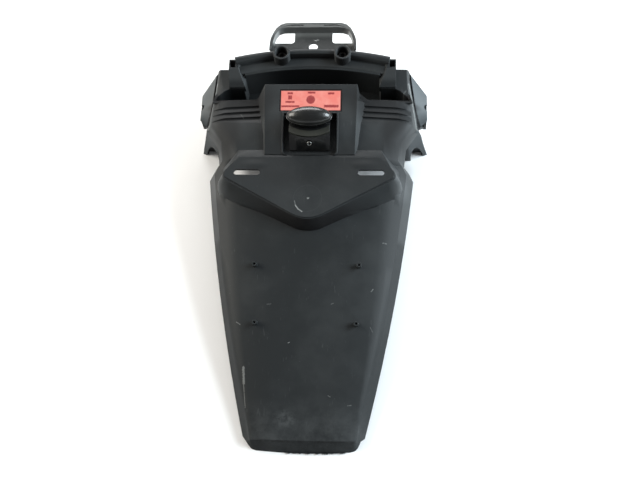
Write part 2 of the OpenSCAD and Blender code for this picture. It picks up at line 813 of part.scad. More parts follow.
// Curved strip along the top of the lamp's front
module lamp_collar() {
    color("dimgray") from_tail() translate([0, 0, collar_z]) intersection() {
        difference() {
            translate([0, collar_mid_t, 0]) cylinder(r = collar_r, h = collar_h, $fn = 96);
            translate([0, collar_mid_t, -1])
                cylinder(r = collar_r - collar_w, h = collar_h + 2, $fn = 96);
        }
        translate([-lamp_w / 2, lamp_front_t, 0])
            cube([lamp_w, lamp_t - lamp_front_t, collar_h]);
    }
}

// Ring of the lens: it stands on the lamp's body, behind the collar, and carries the hood
module lamp_lens() {
    color("gray") from_tail() translate([0, 0, collar_z]) difference() {
        linear_extrude(lens_h) polygon(ellipse(hood_rx - 1.5, hood_ry - 1.2));
        translate([0, 0, -1]) linear_extrude(lens_h + 2) polygon(ellipse(hood_rx - 4, hood_ry - 3.2));
    }
}

// Half ellipsoid, turned about the line across the part
module dome(rx, r) {
    rotate([0, 90, 0]) rotate_extrude($fn = 64) polygon(concat(
        [[0, -rx]], [for (a = [-80:10:80]) [r * cos(a), rx * sin(a)]], [[0, rx]]));
}

module lamp_hood() {
    color("lightgray") from_tail() translate([0, lamp_t, hood_z]) difference() {
        dome(hood_rx, hood_ry);
        dome(hood_rx - 2, hood_ry - 2);
        translate([-50, -50, -100]) cube([100, 100, 100]);
    }
}

module lamp_screw() {
    color("silver") from_tail() screw_place() difference() {
        union() {
            translate([0, 0, -1.6]) cylinder(d = screw_d, h = 2.4);
            translate([0, 0, -6]) cylinder(d = screw_d / 2, h = 5);
        }
        translate([-4, -0.5, 0]) cube([8, 1, 3]);
        translate([-0.5, -4, 0]) cube([1, 8, 3]);
    }
}

module bulb_socket() {
    color("brown") from_tail() translate([0, lamp_t, well_z - 4]) difference() {
        cylinder(d = socket_d, h = 21);
        translate([0, 0, 12]) cylinder(d = bulb_d, h = 20);
    }
}

module lamp_bulb() {
    color("white") from_tail() translate([0, lamp_t, well_z + 8]) union() {
        cylinder(d = bulb_d, h = 13);
        translate([0, 0, 13]) cylinder(d = 7, h = 8);
        translate([0, 0, 22]) sphere(d = 11);
    }
}

module lamp_washers() {
    color("silver") from_tail() both_sides() translate([stud_x, lamp_t, well_z - wall - 1])
        washer(stud_d + 0.3, 9, 1);
}

module lamp_nuts() {
    color("silver") from_tail() both_sides() translate([stud_x, lamp_t, well_z - wall - 4.2])
        nut(stud_d, 7, 3.2);
}

fender();
tail_bracket();
bracket_bolts();
bracket_washers();
bracket_nuts();
label();
lamp_gasket();
lamp_body();
lamp_collar();
lamp_lens();
lamp_hood();
lamp_screw();
bulb_socket();
lamp_bulb();
lamp_washers();
lamp_nuts();
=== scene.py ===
"""Looks of the motorcycle rear fender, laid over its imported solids.

Everything is in metres in the frame of the solids: +X to the right seen from the tail end, +Y from the tail lip to the
bracket, +Z up. Places that come from the part's drawing are given there as a distance from the tail lip, and ``along``
turns them into the frame.
"""

from __future__ import annotations

import logging
import math
from dataclasses import dataclass, field, replace
from enum import Enum
from functools import reduce
from typing import Any, Iterable, Sequence

import bmesh
import bpy
import numpy as np
from mathutils import Matrix, Vector


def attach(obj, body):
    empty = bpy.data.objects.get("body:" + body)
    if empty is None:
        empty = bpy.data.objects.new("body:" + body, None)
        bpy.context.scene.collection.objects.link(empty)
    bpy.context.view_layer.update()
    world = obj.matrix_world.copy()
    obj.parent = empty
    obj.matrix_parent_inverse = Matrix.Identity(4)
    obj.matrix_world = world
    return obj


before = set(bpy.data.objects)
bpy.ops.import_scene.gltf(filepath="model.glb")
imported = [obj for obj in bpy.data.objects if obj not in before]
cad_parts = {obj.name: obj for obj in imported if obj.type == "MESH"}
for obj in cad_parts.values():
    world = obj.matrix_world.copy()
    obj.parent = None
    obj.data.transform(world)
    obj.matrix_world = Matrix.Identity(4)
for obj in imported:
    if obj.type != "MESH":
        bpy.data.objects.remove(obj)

LOG = logging.getLogger("fender")
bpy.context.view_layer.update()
MM = 0.001

# Half the part's length in millimetres, and the distances in metres within which points are joined
HALF_LENGTH = 262.5
WELD_DISTANCE = 2e-6
JOIN_DISTANCE = 1e-7


def along(t_mm: float) -> float:
    """Place in the frame, in metres, of a distance from the tail lip in millimetres."""
    return (t_mm - HALF_LENGTH) * MM


class Side(Enum):
    """The two sides of the part, by the sign of x."""

    RIGHT = 1
    LEFT = -1

    @property
    def word(self) -> str:
        """The side as it stands in a piece's name."""
        return self.name.lower()


# Shader maths


class Signal:
    """A value that runs through a material's nodes, with the usual operators."""

    def __init__(self, recipe: Recipe, socket: bpy.types.NodeSocket) -> None:
        """Keeps the socket and the recipe that it belongs to."""
        self.recipe = recipe
        self.socket = socket

    def math(self, operation: str, *others: Signal | float) -> Signal:
        """Runs one Math operation.

        Args:
            operation: name of the Math node's operation.
            others: the operands after this one.

        Returns:
            The result.
        """
        return self.recipe.calc(operation, self, *others)

    def __add__(self, other: Signal | float) -> Signal:
        """This plus the other."""
        return self.math("ADD", other)

    __radd__ = __add__

    def __sub__(self, other: Signal | float) -> Signal:
        """This less the other."""
        return self.math("SUBTRACT", other)

    def __rsub__(self, other: float) -> Signal:
        """The other less this."""
        return self.recipe.calc("SUBTRACT", other, self)

    def __mul__(self, other: Signal | float) -> Signal:
        """This times the other."""
        return self.math("MULTIPLY", other)

    __rmul__ = __mul__

    def __truediv__(self, other: Signal | float) -> Signal:
        """This over the other."""
        return self.math("DIVIDE", other)

    def __pow__(self, other: float) -> Signal:
        """This to a power."""
        return self.math("POWER", other)

    def __abs__(self) -> Signal:
        """Size without sign."""
        return self.math("ABSOLUTE")

    def over(self, low: float, high: float) -> Signal:
        """Smooth step from 0 at ``low`` to 1 at ``high``.

        Args:
            low: value that gives 0.
            high: value that gives 1; it may be the lower one.

        Returns:
            The step.
        """
        settings = {"interpolation_type": "SMOOTHSTEP"}
        if low < high:
            return self.recipe.node("ShaderNodeMapRange", settings, {"Value": self, "From Min": low, "From Max": high})
        return 1.0 - self.over(high, low)

    def below(self, high: float, low: float = 0.0) -> Signal:
        """Smooth step from 1 at ``low`` to 0 at ``high``."""
        return 1.0 - self.over(low, high)

    def most(self, other: Signal | float) -> Signal:
        """The larger of the two."""
        return self.math("MAXIMUM", other)


Colour = tuple[float, float, float]


class Recipe:
    """One material under construction."""

    def __init__(self, name: str) -> None:
        """Makes an empty material with its shader.

        Args:
            name: the material's name.
        """
        self.material = bpy.data.materials.new(name)
        self.material.use_nodes = True
        self.tree = self.material.node_tree
        self.tree.nodes.clear()
        self.output = self.tree.nodes.new("ShaderNodeOutputMaterial")
        self.shader = self.tree.nodes.new("ShaderNodeBsdfPrincipled")
        self.tree.links.new(self.shader.outputs["BSDF"], self.output.inputs["Surface"])
        self._place: Signal | None = None

    def feed(self, socket: bpy.types.NodeSocket, value: Any) -> None:
        """Sets a socket to a number or colour, or links a signal to it.

        Args:
            socket: the input.
            value: a Signal, a number, or a row of numbers.
        """
        if isinstance(value, Signal):
            self.tree.links.new(value.socket, socket)
        elif isinstance(value, (tuple, list)) and socket.type == "RGBA" and len(value) == 3:
            socket.default_value = (*value, 1.0)
        else:
            socket.default_value = value

    def node(
        self,
        kind: str,
        settings: dict[str, Any] | None = None,
        sockets: dict[str | int, Any] | None = None,
        out: str | int = 0,
    ) -> Signal:
        """Makes one node.

        Args:
            kind: the node's type.
            settings: its properties, set before its sockets; ``stops`` holds a ramp's (place, colour) pairs.
            sockets: values or signals of its inputs, by name or number.
            out: the output that is wanted.

        Returns:
            The signal of that output.
        """
        made = self.tree.nodes.new(kind)
        for key, value in (settings or {}).items():
            if key == "stops":
                ramp = made.color_ramp
                while len(ramp.elements) < len(value):
                    ramp.elements.new(0.5)
                for element, (place, colour) in zip(ramp.elements, value):
                    element.position, element.color = place, (*colour, 1.0)
            else:
                setattr(made, key, value)
        for key, value in (sockets or {}).items():
            self.feed(made.inputs[key], value)
        return Signal(self, made.outputs[out])

    def calc(self, operation: str, *values: Signal | float) -> Signal:
        """Runs a Math node on its operands."""
        return self.node("ShaderNodeMath", {"operation": operation}, dict(enumerate(values)))

    @property
    def place(self) -> Signal:
        """The point on the object, in metres."""
        if self._place is None:
            self._place = self.node("ShaderNodeTexCoord", out="Object")
        return self._place

    def parts(self, vector: Signal) -> tuple[Signal, Signal, Signal]:
        """The three numbers of a vector."""
        made = self.node("ShaderNodeSeparateXYZ", sockets={0: vector}).socket.node
        return tuple(Signal(self, made.outputs[i]) for i in range(3))

    def axes(self) -> tuple[Signal, Signal, Signal]:
        """The point's three coordinates, in metres."""
        return self.parts(self.place)

    def facing(self) -> tuple[Signal, Signal, Signal]:
        """The way that the surface looks, as a unit vector."""
        return self.parts(self.node("ShaderNodeNewGeometry", out="Normal"))

    def stretched(self, scale: Sequence[float], turn: float = 0.0) -> Signal:
        """The point with its axes turned about Z and scaled, for streaks.

        Args:
            scale: factor of each axis.
            turn: angle in degrees.

        Returns:
            The new coordinates.
        """
        return self.node(
            "ShaderNodeMapping",
            sockets={"Vector": self.place, "Rotation": (0.0, 0.0, math.radians(turn)), "Scale": tuple(scale)},
        )

    def noise(self, scale: float, detail: float = 3.0, rough: float = 0.55, at: Signal | None = None) -> Signal:
        """Cloudy noise between 0 and 1.

        Args:
            scale: lumps per metre.
            detail: number of finer layers.
            rough: strength of the finer layers.
            at: coordinates, or the point itself.

        Returns:
            The noise.
        """
        sockets = {"Vector": at or self.place, "Scale": scale, "Detail": detail, "Roughness": rough}
        return self.node("ShaderNodeTexNoise", sockets=sockets)

    def mix(self, share: Signal | float, first: Any, second: Any) -> Signal:
        """Mixes two colours.

        Args:
            share: how much of the second.
            first: colour at 0.
            second: colour at 1.

        Returns:
            The colour.
        """
        sockets = {0: share, 6: first, 7: second}
        return self.node("ShaderNodeMix", {"data_type": "RGBA"}, sockets, out=2)

    def hairlines(self, turn: float, across: float = 420.0, length: float = 14.0) -> Signal:
        """Fine straight scratches along one direction: the peaks of a noise that is drawn out lengthwise, thinned by
        a second, cloudy noise.

        Args:
            turn: direction in degrees.
            across: noise lumps per metre square to the scratches.
            length: noise lumps per metre along them.

        Returns:
            1 on a scratch, 0 elsewhere.
        """
        fine = self.noise(1.0, 1.0, 0.4, self.stretched((across, length, across), turn))
        gate = self.noise(26.0, 2.0, 0.6, self.stretched((1.0, 1.0, 1.0), turn * 2.0)).over(0.5, 0.68)
        return fine.over(0.7, 0.76) * gate

    def stroke(self, mark: Stroke, soft: float = 0.5) -> Signal:
        """A mark along a line seen from above: its strength within the width of the line, fading outside.

        The line's nearest point is found by its share of the way from one end to the other, kept between 0 and 1.

        Args:
            mark: the mark's ends, half width and strength.
            soft: share of the width over which it fades.

        Returns:
            The mark.
        """
        x, y, _ = self.axes()
        ax, ay = mark.x0 * MM, along(mark.t0)
        bx, by = mark.x1 * MM - ax, along(mark.t1) - ay
        px, py = x - ax, y - ay
        share = ((px * bx + py * by) / (bx * bx + by * by)).math("MINIMUM", 1.0).most(0.0)
        dx, dy = px - share * bx, py - share * by
        width = mark.width * MM
        gap = (dx * dx + dy * dy).math("SQRT") + (self.noise(900.0, 3.0, 0.7) - 0.5) * (2.0 * width)
        return gap.below(width, width * (1 - soft)) * mark.strength

    def strokes(self, marks: Iterable[Stroke]) -> Signal:
        """The strongest of some marks at each point."""
        return reduce(Signal.most, map(self.stroke, marks))

    def past(self, gate: tuple[float, float]) -> Signal:
        """Smooth step along the part, between two distances from the tail lip in millimetres."""
        return self.axes()[1].over(along(gate[0]), along(gate[1]))

    def ring(self, centre: tuple[float, float], radius: float, width: float) -> Signal:
        """A faint circle seen from above, all sizes in millimetres.

        Args:
            centre: x and distance from the tail lip.
            radius: the circle's radius.
            width: how far from the circle it has faded.

        Returns:
            The circle.
        """
        x, y, _ = self.axes()
        dx, dy = x - centre[0] * MM, y - along(centre[1])
        gap = abs((dx * dx + dy * dy).math("SQRT") - radius * MM)
        return gap.below(width * MM)

    def blot(self, spot: Spot, soft: float = 0.6) -> Signal:
        """A soft oval seen from above: 1 inside, fading to 0 at its half sizes.

        Args:
            spot: its place and half sizes.
            soft: share of the size over which it fades.

        Returns:
            The oval.
        """
        x, y, _ = self.axes()
        dx = (x - spot.x * MM) / (spot.half_x * MM)
        dy = (y - along(spot.t)) / (spot.half_t * MM)
        return (dx * dx + dy * dy).math("SQRT").below(1.0, 1.0 - soft)

    def both(self, spot: Spot, soft: float = 0.7) -> Signal:
        """A soft oval on both sides of the part."""
        return self.blot(spot, soft).most(self.blot(replace(spot, x=-spot.x), soft))

    def finish(
        self,
        colour: Any,
        rough: Any,
        bump: Signal | None = None,
        height: float = 0.1,
        edge: float = 0.0,
        **plain: Any,
    ) -> bpy.types.Material:
        """Closes the material.

        Args:
            colour: base colour or signal.
            rough: roughness or signal.
            bump: height field in millimetres, or none.
            height: strength of the bump.
            edge: radius in millimetres to which light sees the edges rounded.
            plain: constant values of other sockets, with _ for a space.

        Returns:
            The material.
        """
        self.feed(self.shader.inputs["Base Color"], colour)
        self.feed(self.shader.inputs["Roughness"], rough)
        for key, value in plain.items():
            self.feed(self.shader.inputs[key.replace("_", " ")], value)
        sockets: dict[str | int, Any] = {"Strength": height, "Distance": MM}
        if edge:
            rounded = self.node("ShaderNodeBevel", {"samples": 4}, {"Radius": edge * MM}, out="Normal")
            sockets["Normal"] = rounded
        if bump is not None:
            sockets["Height"] = bump
        if len(sockets) > 2:
            self.feed(self.shader.inputs["Normal"], self.node("ShaderNodeBump", sockets=sockets, out="Normal"))
        return self.material


# Finishes


@dataclass(frozen=True)
class Stroke:
    """One mark of use: the ends as x and distance from the tail lip, and the half width, in millimetres."""

    x0: float
    t0: float
    x1: float
    t1: float
    width: float = 0.8
    strength: float = 0.5


@dataclass(frozen=True)
class Spot:
    """A soft oval: its middle as x and distance from the tail lip, and its half sizes, in millimetres."""

    x: float
    t: float
    half_x: float
    half_t: float


@dataclass(frozen=True)
class WornMoulding:
    """Black moulded plastic with a fine grain, dust, hairline scratches and the marks of its use, with painted light
    and
    shade: darker tail-facing faces, crease, pockets and grooves, paler flanks, pillars, shoulders and groove lips.

    ``lift`` is the factor by which the whole piece is paled; the paler copies for legs and flange webs are painted
    light.
    The pairs named ``from`` and ``to`` are distances from the tail lip between which a tone sets in or ends, in
    millimetres.
    """

    name: str = "worn_moulding"
    lift: float = 1.0
    dark: Colour = (0.0168, 0.019, 0.0202)
    hazy: Colour = (0.0315, 0.0345, 0.0358)
    paler_tone: Colour = (0.075, 0.08, 0.082)
    pale: Colour = (0.24, 0.25, 0.245)
    painted_shade: Colour = (0.006, 0.006, 0.0065)
    panel_from: tuple[float, float] = (20.0, 30.0)
    flank_from: tuple[float, float] = (240.0, 250.0)
    pillar_from: tuple[float, float] = (442.0, 450.0)
    tip_to: tuple[float, float] = (20.0, 66.0)
    crease_to: tuple[float, float] = (11.5, 12.5)
    crease_z: tuple[float, float] = (11.5, 13.5)
    pocket_shade: Spot = Spot(80.0, 414.0, 56.0, 34.0)
    side_shade: Spot = Spot(103.0, 380.0, 24.0, 52.0)
    platform_shade: Spot = Spot(0.0, 330.0, 115.0, 40.0)
    corner_shade: Spot = Spot(112.0, 424.5, 30.0, 7.5)
    tip_patch: Spot = Spot(-21.0, 36.0, 18.0, 14.0)
    shoulder_highlight: Spot = Spot(110.0, 308.0, 16.0, 20.0)
    lamp_side_pale: Spot = Spot(44.0, 388.0, 13.0, 36.0)
    slot_swell: Spot = Spot(66.0, 331.0, 20.0, 8.0)
    ring: tuple[tuple[float, float], float, float] = ((0.0, 286.5), 17.0, 0.7)
    # groove_lip is a painted highlight along the deck's rounded side edge, and groove a painted shadow beside it
    groove_width: float = 2.0
    groove_lip_width: float = 1.4
    groove: tuple[tuple[float, float], ...] = ((122.6, 456.0), (128.0, 430.0), (132.2, 412.0), (135.4, 402.0))
    groove_lip: tuple[tuple[float, float], ...] = ((121.2, 447.0), (125.0, 427.0), (128.6, 407.0), (131.4, 391.0))
    scuffs: tuple[Stroke, ...] = (
        Stroke(-71.4, 93.0, -70.2, 75.0, 1.7, 0.6),
        Stroke(-70.6, 76.0, -67.6, 48.0, 0.7, 0.4),
        Stroke(90.0, 240.6, 94.0, 240.2, 0.9, 0.35),
        Stroke(76.6, 182.4, 78.6, 185.0, 0.7, 0.55),
        Stroke(-82.0, 145.5, -77.0, 142.0, 0.6, 0.45),
        Stroke(-19.6, 121.0, -17.8, 122.0, 0.6, 0.6),
        Stroke(28.0, 62.6, 31.0, 61.0, 0.4, 0.5),
        Stroke(51.0, 51.6, 55.0, 52.4, 0.7, 0.25),
        Stroke(-46.0, 165.6, -41.0, 166.0, 0.5, 0.22),
        Stroke(30.0, 166.5, 32.4, 167.5, 0.6, 0.25),
        Stroke(76.0, 141.0, 78.6, 136.0, 0.6, 0.22),
        Stroke(0.2, 286.2, 0.9, 286.6, 1.3, 0.7),
        Stroke(-15.5, 283.0, -14.0, 277.0, 0.6, 0.4),
        Stroke(-14.0, 277.0, -10.5, 272.0, 0.9, 0.75),
        Stroke(-10.5, 272.0, -6.0, 269.0, 0.8, 0.7),
        Stroke(-88.0, 402.0, -84.0, 396.0, 0.7, 0.15),
        Stroke(114.0, 431.0, 117.0, 436.0, 1.0, 0.2),
    )

    def line(self, r: Recipe, points: Sequence[tuple[float, float]], width: float) -> Signal:
        """A line through points, on both sides of the part.

        Args:
            r: the material under construction.
            points: x and distance from the tail lip of each point, in millimetres.
            width: half width in millimetres.

        Returns:
            The line.
        """
        return r.strokes(
            Stroke(side.value * x0, t0, side.value * x1, t1, width, 1.0)
            for side in Side
            for (x0, t0), (x1, t1) in zip(points, points[1:])
        )

    def make(self) -> bpy.types.Material:
        """Builds the material.

        Returns:
            The material.
        """
        r = Recipe(self.name)
        x, _, z = r.axes()
        sideways, to_tail, upward = r.facing()

        # Painted shade: faces turned to the tail, the lip's crease, the pockets, the platform and the deck's corners
        # are darkened where shade falls
        steep_shade = to_tail.below(-0.35, -0.8) * upward.below(0.92, 0.6)
        steep_shade = steep_shade * abs(x).below(0.085, 0.03) * r.past(self.panel_from)
        shaded = r.both(self.pocket_shade).most(r.both(self.side_shade)).most(r.blot(self.platform_shade) * 0.5)
        corner = r.both(self.corner_shade) * 1.2
        below_crease = 1.0 - r.past(self.crease_to)
        # painted shadow line along the lip's crease, broken up by noise
        crease = below_crease * z.over(self.crease_z[0] * MM, self.crease_z[1] * MM)
        crease = crease * r.noise(90.0, 3.0, 0.6).over(0.3, 0.6)

        # Dust, haze and scratches, with painted light: flanks facing the sides, pillar faces turned to the tail and the
        # sloping faces of the ramp's shoulders are made paler, as lit
        flank = abs(sideways).over(0.5, 0.9) * r.past(self.flank_from)
        pillar = r.past(self.pillar_from) * to_tail.below(-0.3, -0.6)
        shoulder = r.both(self.shoulder_highlight) * upward.below(0.97, 0.9)
        haze = r.noise(11.0, 5.0, 0.62).over(0.4, 0.72)
        speckle = r.noise(520.0, 2.0, 0.5).over(0.66, 0.78) * r.noise(40.0, 3.0, 0.6).over(0.5, 0.7)
        lines = r.hairlines(14.0).most(r.hairlines(-33.0)).most(r.hairlines(74.0, 500.0, 18.0))
        tip_haze = (1.0 - r.past(self.tip_to)) * r.noise(34.0, 5.0, 0.7).over(0.3, 0.7)
        patch = r.blot(self.tip_patch, 0.9) * r.noise(80.0, 4.0, 0.7).over(0.4, 0.62)
        crumbs = below_crease * r.noise(800.0, 2.0, 0.6).over(0.62, 0.72) * r.noise(60.0, 2.0).over(0.4, 0.6)
        marks = r.strokes(self.scuffs) * r.noise(700.0, 2.0, 0.6).over(0.25, 0.5)
        dust = (
            speckle * 0.5
            + lines * 0.22
            + patch * 0.5
            + r.ring(*self.ring) * 0.1
            + tip_haze * 0.3
            + flank * 0.4
            + shoulder * 0.45
            + pillar * 0.35
            # paler blots on the label box's sides beside the lamp
            + r.both(self.lamp_side_pale) * 0.2
        )

        # Colour, from the plastic up to the white marks
        dark, hazy = (tuple(self.lift * c for c in tone) for tone in (self.dark, self.hazy))
        colour = r.mix(haze * 0.55 + tip_haze * 0.4, dark, hazy)
        # the dust share also carries the painted light of the flanks, pillars and shoulders
        colour = r.mix(dust, colour, self.paler_tone)
        # painted shade: near-black over tail-facing faces, the crease line, the pockets and the corners
        colour = r.mix((steep_shade * 0.95).most(crease * 0.45).most(shaded * 0.7).most(corner), colour, self.painted_shade)
        # painted highlight along the groove lips
        colour = r.mix(self.line(r, self.groove_lip, self.groove_lip_width) * 0.55, colour, self.pale)
        # painted shadow along the grooves
        colour = r.mix(self.line(r, self.groove, self.groove_width) * 0.85, colour, self.painted_shade)
        colour = r.mix(crumbs * 0.5, colour, self.paler_tone)
        colour = r.mix(marks, colour, self.pale)

        # Sheen and grain
        rough = 0.46 + haze * 0.08 + lines * 0.08 + below_crease * 0.3 + tip_haze * 0.1 + steep_shade * 0.2 + shaded * 0.12
        grain = r.noise(1400.0, 2.0, 0.5) * 0.03 + r.noise(24.0, 2.0, 0.5) * 0.5
        grain = grain + r.both(self.slot_swell, 1.0) * 2.0 - lines * 0.02
        return r.finish(colour, rough, grain, height=0.4, edge=1.0, Specular_IOR_Level=0.2)


@dataclass(frozen=True)
class BracketCoat:
    """Satin black coat on steel, greyer where it is rubbed, with white scuffs beside the hole, and paler on the rim's
    far and side walls as painted light.
    """

    black: Colour = (0.019, 0.0205, 0.0205)
    rubbed_and_lit: Colour = (0.085, 0.088, 0.086)
    white: Colour = (0.5, 0.5, 0.49)
    scuffs: tuple[Stroke, ...] = (
        Stroke(2.0, 503.6, 6.6, 504.4, 0.4, 0.6),
        Stroke(0.5, 504.4, 4.0, 502.6, 0.35, 0.5),
        Stroke(4.4, 505.4, 6.2, 503.8, 0.3, 0.4),
    )
    far_wall_from: tuple[float, float] = (505.0, 514.0)
    side_wall_from: tuple[float, float] = (493.0, 500.0)

    def make(self) -> bpy.types.Material:
        """Builds the material.

        Returns:
            The material.
        """
        r = Recipe("bracket_coat")
        x, _, z = r.axes()
        cloud = r.noise(38.0, 4.0, 0.6)
        lines = r.hairlines(80.0, 600.0, 30.0).most(r.hairlines(12.0, 600.0, 30.0))
        far_wall_light = r.past(self.far_wall_from)
        side_wall_light = abs(x).over(0.041, 0.047) * r.past(self.side_wall_from) * z.below(0.0935, 0.0925)
        marks = r.strokes(self.scuffs) * r.noise(800.0, 2.0, 0.6).over(0.3, 0.5)
        # painted light: the rim's far wall and side walls made paler, as lit
        colour = r.mix(cloud.over(0.45, 0.75) * 0.4 + lines * 0.3 + far_wall_light * 0.8, self.black, self.rubbed_and_lit)
        colour = r.mix(side_wall_light * 0.35, colour, self.white)
        colour = r.mix(marks, colour, self.white)
        grain = r.noise(900.0, 2.0) * 0.04 + cloud * 0.2
        return r.finish(colour, 0.4 + cloud * 0.12, grain, height=0.3, edge=0.7, Specular_IOR_Level=0.5)


class Plating(Enum):
    """Metal finishes of the fasteners: name, bright tone, dull tone, roughness."""

    ZINC = ("zinc", (0.42, 0.43, 0.42), (0.2, 0.2, 0.19), 0.38)
    BLACK_OXIDE = ("black_oxide", (0.03, 0.03, 0.032), (0.06, 0.055, 0.05), 0.45)
    DARK_STEEL = ("dark_steel", (0.03, 0.03, 0.03), (0.07, 0.065, 0.06), 0.5)


@dataclass(frozen=True)
class Metal:
    """Plain metal of a fastener, slightly spotted."""

    plating: Plating

    def make(self) -> bpy.types.Material:
        """Builds the material.

        Returns:
            The material.
        """
        name, bright, dull, rough = self.plating.value
        r = Recipe(name)
        cloud = r.noise(300.0, 3.0, 0.6)
        colour = r.mix(cloud.over(0.4, 0.7), bright, dull)
        return r.finish(colour, rough + cloud * 0.15, cloud * 0.05, height=0.2, Metallic=1.0)


@dataclass(frozen=True)
class LampPlastic:
    """Glossy or matt plastic of the lamp, with dust and fine scratches."""

    name: str
    colour: Colour
    paler_tone: Colour
    rough: float
    coat: float = 0.0
    dust: float = 0.35
    edge: float = 0.5

    def make(self) -> bpy.types.Material:
        """Builds the material.

        Returns:
            The material.
        """
        r = Recipe(self.name)
        cloud = r.noise(70.0, 4.0, 0.6)
        lines = r.hairlines(30.0, 800.0, 60.0).most(r.hairlines(-52.0, 800.0, 60.0))
        dust = cloud.over(0.45, 0.75) * self.dust + lines * 0.35
        return r.finish(
            r.mix(dust, self.colour, self.paler_tone),
            self.rough + cloud * 0.1 + lines * 0.15,
            r.noise(60.0, 2.0) * 0.25,
            height=0.2,
            edge=self.edge,
            Coat_Weight=self.coat,
            Coat_Roughness=0.08,
        )


@dataclass(frozen=True)
class ClearShell:
    """Smoky clear plastic of the lens and the bulb."""

    name: str
    tint: Colour
    rough: float = 0.12

    def make(self) -> bpy.types.Material:
        """Builds the material.

        Returns:
            The material.
        """
        r = Recipe(self.name)
        streak = r.noise(160.0, 3.0, 0.6)
        colour = r.mix(streak.over(0.4, 0.7) * 0.4, self.tint, tuple(0.6 * c for c in self.tint))
        return r.finish(colour, self.rough + streak * 0.1, Transmission_Weight=0.85, IOR=1.5)


@dataclass(frozen=True)
class LabelSheet:
    """Coral reflecting sheet with a dark border painted as the shadow along its edge, and plain darker blocks and dots,
    none of them a sign.
    """

    coral: Colour = (0.62, 0.16, 0.13)
    faded: Colour = (0.66, 0.24, 0.2)
    red: Colour = (0.2, 0.008, 0.014)
    edge: Colour = (0.03, 0.008, 0.008)
    middle_t: float = 412.5
    slope: float = 0.194
    half: tuple[float, float] = (37.5, 13.5)
    dot_v: float = 1.2
    dot_radii: tuple[float, float] = (4.8, 6.0)
    blocks: tuple[tuple[float, float, float, float], ...] = (
        (-25.5, 9.4, 3.2, 1.3),
        (-25.5, 4.0, 2.3, 2.6),
        (-25.5, -1.8, 5.6, 1.2),
        (1.0, 10.2, 4.6, 1.2),
        (25.0, 9.2, 3.8, 1.3),
        (25.5, -7.2, 9.0, 1.7),
        (-25.0, -7.4, 11.0, 1.2),
    )

    def make(self) -> bpy.types.Material:
        """Builds the material.

        Returns:
            The material.
        """
        r = Recipe("label_sheet")
        x, y, _ = r.axes()
        v = (y - along(self.middle_t)) * (math.hypot(1.0, self.slope) / MM)
        u = x * (1 / MM)
        wobble = (r.noise(850.0, 2.0, 0.6) - 0.5) * 1.5
        from_dot = (u * u + (v - self.dot_v) * (v - self.dot_v)).math("SQRT")
        dot = (from_dot + wobble).below(self.dot_radii[1], self.dot_radii[0])
        for cx, cy, hx, hy in self.blocks:
            side = (abs(u - cx) - hx).most(abs(v - cy) - hy) + wobble
            dot = dot.most(side.below(0.5, -0.5))
        worn = r.noise(650.0, 2.0).over(0.22, 0.42)
        rim = (abs(u) - self.half[0]).most(abs(v) - self.half[1])
        colour = r.mix(r.noise(60.0, 4.0, 0.6).over(0.35, 0.75), self.coral, self.faded)
        colour = r.mix(dot * worn * 0.9, colour, self.red)
        # dark border: painted shadow along the label's edge
        colour = r.mix(rim.over(-1.3, -0.7), colour, self.edge)
        cells = r.node("ShaderNodeTexVoronoi", sockets={"Vector": r.place, "Scale": 600.0}, out="Distance")
        return r.finish(colour, 0.4 + cells * 0.1, cells * 0.08, height=0.3, Coat_Weight=0.2, Coat_Roughness=0.25)


# Surfaces


def in_frame(points: np.ndarray) -> np.ndarray:
    """Turns points (x, distance from the tail lip, z) in millimetres into the frame's metres."""
    return (points - np.array([0.0, HALF_LENGTH, 0.0])) * MM


def lay_grid(name: str, points: np.ndarray, close_rows: bool = False, close_columns: bool = False) -> bpy.types.Object:
    """Makes a smooth mesh of a grid of points, joins what coincides and turns its faces outwards.

    Args:
        name: the piece's name.
        points: array of rows x columns x 3, in metres.
        close_rows: whether the last row joins the first.
        close_columns: whether the last column joins the first.

    Returns:
        The object.
    """
    rows, columns, _ = points.shape
    index = np.arange(rows * columns).reshape(rows, columns)
    if close_rows:
        index = np.vstack([index, index[:1]])
    if close_columns:
        index = np.hstack([index, index[:, :1]])
    quads = np.stack([index[:-1, :-1], index[:-1, 1:], index[1:, 1:], index[1:, :-1]], axis=-1).reshape(-1, 4)
    mesh = bpy.data.meshes.new(name)
    mesh.from_pydata(points.reshape(-1, 3).tolist(), [], quads.tolist())
    work = bmesh.new()
    work.from_mesh(mesh)
    bmesh.ops.remove_doubles(work, verts=work.verts, dist=JOIN_DISTANCE)
    bmesh.ops.recalc_face_normals(work, faces=work.faces)
    work.to_mesh(mesh)
    work.free()
    mesh.polygons.foreach_set("use_smooth", np.ones(len(mesh.polygons), bool))
    mesh.update()
    piece = bpy.data.objects.new(name, mesh)
    bpy.context.scene.collection.objects.link(piece)
    return piece


